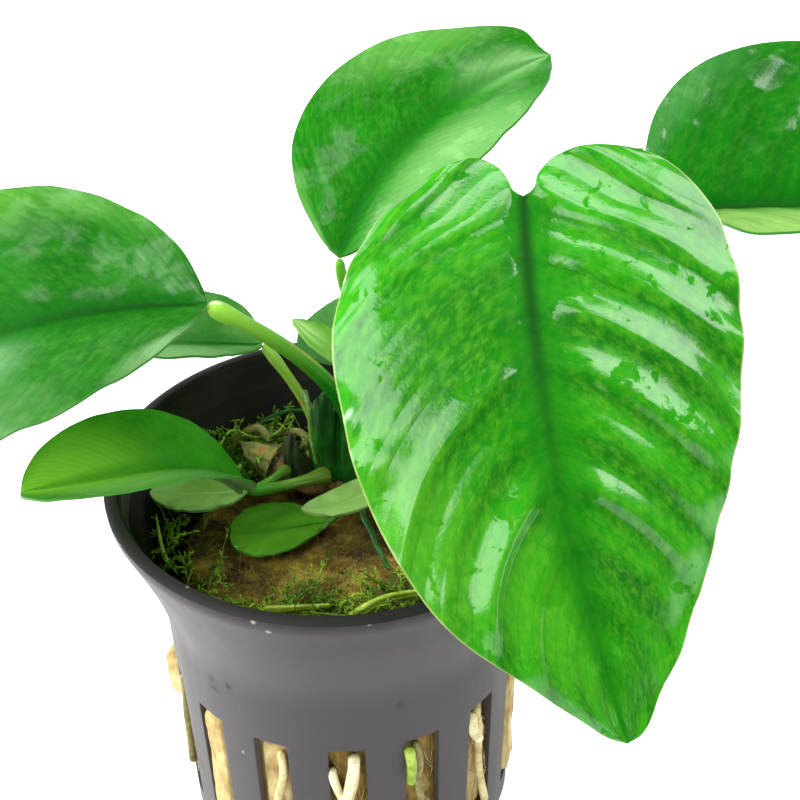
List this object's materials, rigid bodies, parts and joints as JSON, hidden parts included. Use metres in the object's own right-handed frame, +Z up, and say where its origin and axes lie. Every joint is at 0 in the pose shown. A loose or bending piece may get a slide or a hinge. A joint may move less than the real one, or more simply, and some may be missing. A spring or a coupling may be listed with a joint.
{
  "type": "anubias plant in a net pot",
  "caption": "Young broad-leaved water plant with a creeping rhizome, standing in a slotted plastic net pot packed with mineral wool.",
  "frame": {"origin": "centre of the pot's flat underside", "axes": "+Z up, -Y the side that the largest leaf hangs over, +X to the right of someone who looks at that side"},
  "size_m": [0.157, 0.0983, 0.0949],
  "materials": {
    "pot_plastic": "satin charcoal moulding",
    "mineral_wool": "damp matted fibres",
    "rhizome_bark": "damp, scarred",
    "root_skin": "damp, smooth",
    "leaf_green": "waxy, wet",
    "stalk_green": "waxy",
    "young_green": "waxy"
  },
  "bodies": {
    "root": {"net_pot": "pot_plastic", "rock_wool_plug": "mineral_wool", "rhizome": "rhizome_bark", "front_leaf_blade": "leaf_green", "front_leaf_stalk": "stalk_green", "back_leaf_blade": "leaf_green", "back_leaf_stalk": "stalk_green", "left_leaf_blade": "leaf_green", "left_leaf_stalk": "stalk_green", "right_leaf_blade": "leaf_green", "right_leaf_stalk": "stalk_green", "low_left_leaf_blade": "leaf_green", "low_left_leaf_stalk": "stalk_green", "behind_left_leaf_blade": "leaf_green", "behind_left_leaf_stalk": "stalk_green", "under_left_leaf_blade": "leaf_green", "under_left_leaf_stalk": "stalk_green", "pot_side_leaf_blade": "leaf_green", "pot_side_leaf_stalk": "stalk_green", "narrow_leaf_blade": "leaf_green", "narrow_leaf_stalk": "stalk_green", "young_leaf_blade": "young_green", "young_leaf_stalk": "stalk_green", "shaded_leaf_blade": "leaf_green", "shaded_leaf_stalk": "stalk_green", "root_back_left": "root_skin", "root_back": "root_skin", "root_front": "root_skin", "root_right": "root_skin", "root_left": "root_skin", "slot_root_00": "root_skin", "slot_root_01": "root_skin", "slot_root_02": "root_skin", "slot_root_03": "root_skin", "slot_root_05": "root_skin", "slot_root_08": "root_skin", "slot_root_11": "root_skin", "slot_root_13": "root_skin"}
  },
  "joints": []
}
